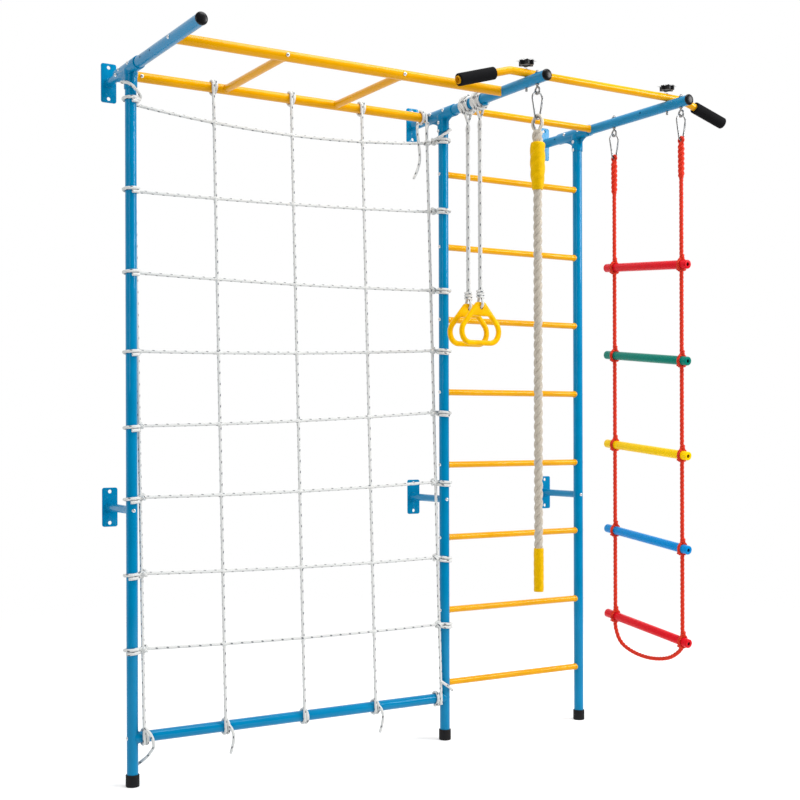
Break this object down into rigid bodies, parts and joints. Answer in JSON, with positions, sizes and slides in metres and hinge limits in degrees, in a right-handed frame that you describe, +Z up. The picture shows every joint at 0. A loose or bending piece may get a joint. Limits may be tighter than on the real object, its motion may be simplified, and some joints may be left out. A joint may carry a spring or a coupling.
{
  "type": "swedish ladder climbing wall",
  "caption": "Wall-fixed tubular climbing frame with rung ladder, monkey bars, pull-up bar, rope net, gym rings, climbing rope and rope ladder.",
  "frame": {"origin": "centre of the back face of the middle post's upper wall plate, on the wall", "axes": "+Z up; +Y into the wall, out of the plate's back face; +X along the wall, from the net bay to the rung bay"},
  "size_m": [2.0378, 0.814, 2.2691],
  "materials": {
    "blue_frame": "gloss powder coat",
    "yellow_frame": "gloss powder coat",
    "black_rubber": "matte",
    "black_plastic": "satin",
    "black_foam": "matte foam",
    "zinc_steel": "bright zinc",
    "pale_rope": "twisted fibre",
    "white_rope": "braided fibre",
    "red_rope": "twisted fibre",
    "yellow_sleeve": "shrunk sleeve",
    "yellow_ring": "moulded",
    "red_rung": "moulded",
    "green_rung": "moulded",
    "yellow_rung": "moulded",
    "blue_rung": "moulded"
  },
  "bodies": {
    "root": {"post_left": "blue_frame", "foot_left": "black_rubber", "beam_left": "blue_frame", "saddle_left": "blue_frame", "beam_cap_left": "black_plastic", "upper_wall_bracket_left": "blue_frame", "lower_wall_bracket_left": "blue_frame", "post_middle": "blue_frame", "foot_middle": "black_rubber", "beam_middle": "blue_frame", "saddle_middle": "blue_frame", "beam_cap_middle": "black_plastic", "upper_wall_bracket_middle": "blue_frame", "lower_wall_bracket_middle": "blue_frame", "post_right": "blue_frame", "foot_right": "black_rubber", "beam_right": "blue_frame", "saddle_right": "blue_frame", "beam_cap_right": "black_plastic", "upper_wall_bracket_right": "blue_frame", "lower_wall_bracket_right": "blue_frame", "wall_rung_1": "yellow_frame", "wall_rung_2": "yellow_frame", "wall_rung_3": "yellow_frame", "wall_rung_4": "yellow_frame", "wall_rung_5": "yellow_frame", "wall_rung_6": "yellow_frame", "wall_rung_7": "yellow_frame", "wall_rung_8": "yellow_frame", "bottom_bar": "blue_frame", "top_bar": "yellow_frame", "monkey_bar_frame": "yellow_frame", "pull_up_bar": "yellow_frame", "foam_grip_left": "black_foam", "foam_grip_right": "black_foam", "rope_eye_bolt": "zinc_steel", "ladder_eye_bolt_1": "zinc_steel", "ladder_eye_bolt_2": "zinc_steel", "climbing_net": "white_rope"},
    "rope_hook": {"rope_snap_hook": "zinc_steel"},
    "hanging_rope": {"climbing_rope": "pale_rope", "rope_sleeve": "yellow_sleeve", "rope_thimble": "zinc_steel"},
    "rope_gate": {"rope_hook_gate": "zinc_steel"},
    "rope_ladder": {"ladder_snap_hook_1": "zinc_steel", "ladder_snap_hook_2": "zinc_steel", "ladder_rope": "red_rope", "ladder_rung_1": "red_rung", "ladder_rung_2": "green_rung", "ladder_rung_3": "yellow_rung", "ladder_rung_4": "blue_rung", "ladder_rung_5": "red_rung"},
    "ladder_gate_1": {"ladder_hook_gate_1": "zinc_steel"},
    "ladder_gate_2": {"ladder_hook_gate_2": "zinc_steel"},
    "ring_rope_a": {"ring_rope_1": "white_rope"},
    "ring_rope_b": {"ring_rope_2": "white_rope"},
    "ring_a": {"gym_ring_1": "yellow_ring"},
    "ring_b": {"gym_ring_2": "yellow_ring"},
    "knob_a": {"star_knob_left": "black_plastic"},
    "knob_b": {"star_knob_right": "black_plastic"}
  },
  "joints": [
    {"name": "rope_hook_swing", "type": "hinge", "parent": "root", "child": "rope_hook", "pos_m": [0, -0.758, -0.05], "axis": [0, -1, 0], "range_deg": [-40, 18]},
    {"name": "rope_swing", "type": "hinge", "parent": "rope_hook", "child": "hanging_rope", "pos_m": [0, -0.758, -0.1292], "axis": [1, 0, 0], "range_deg": [-35, 15]},
    {"name": "rope_gate_hinge", "type": "hinge", "parent": "rope_hook", "child": "rope_gate", "pos_m": [0.01053, -0.758, -0.11474], "axis": [0, -1, 0], "range_deg": [0, 22], "stiffness_Nm_per_rad": 0.05, "springref_deg": -14.32},
    {"name": "ladder_swing", "type": "hinge", "parent": "root", "child": "rope_ladder", "pos_m": [0.6, -0.422, -0.05], "axis": [0, -1, 0], "range_deg": [-15, 40]},
    {"name": "ladder_gate_1_hinge", "type": "hinge", "parent": "rope_ladder", "child": "ladder_gate_1", "pos_m": [0.61053, -0.422, -0.11474], "axis": [0, -1, 0], "range_deg": [0, 22], "stiffness_Nm_per_rad": 0.05, "springref_deg": -14.32},
    {"name": "ladder_gate_2_hinge", "type": "hinge", "parent": "rope_ladder", "child": "ladder_gate_2", "pos_m": [0.61053, -0.769, -0.11474], "axis": [0, -1, 0], "range_deg": [0, 22], "stiffness_Nm_per_rad": 0.05, "springref_deg": -14.32},
    {"name": "ring_rope_1_swing", "type": "hinge", "parent": "root", "child": "ring_rope_a", "pos_m": [0, -0.365, 0], "axis": [0, -1, 0], "range_deg": [-45, 30]},
    {"name": "ring_rope_2_swing", "type": "hinge", "parent": "root", "child": "ring_rope_b", "pos_m": [0, -0.437, 0], "axis": [0, -1, 0], "range_deg": [-45, 30]},
    {"name": "ring_1_tilt", "type": "hinge", "parent": "ring_rope_a", "child": "ring_a", "pos_m": [0, -0.365, -0.699], "axis": [0, -1, 0], "range_deg": [-30, 30]},
    {"name": "ring_2_tilt", "type": "hinge", "parent": "ring_rope_b", "child": "ring_b", "pos_m": [0, -0.437, -0.699], "axis": [0, -1, 0], "range_deg": [-30, 30]},
    {"name": "left_knob_turn", "type": "hinge", "parent": "root", "child": "knob_a", "pos_m": [0, -0.7, 0.043], "axis": [0, 0, 1], "continuous": true},
    {"name": "right_knob_turn", "type": "hinge", "parent": "root", "child": "knob_b", "pos_m": [0.6, -0.7, 0.043], "axis": [0, 0, 1], "continuous": true}
  ]
}
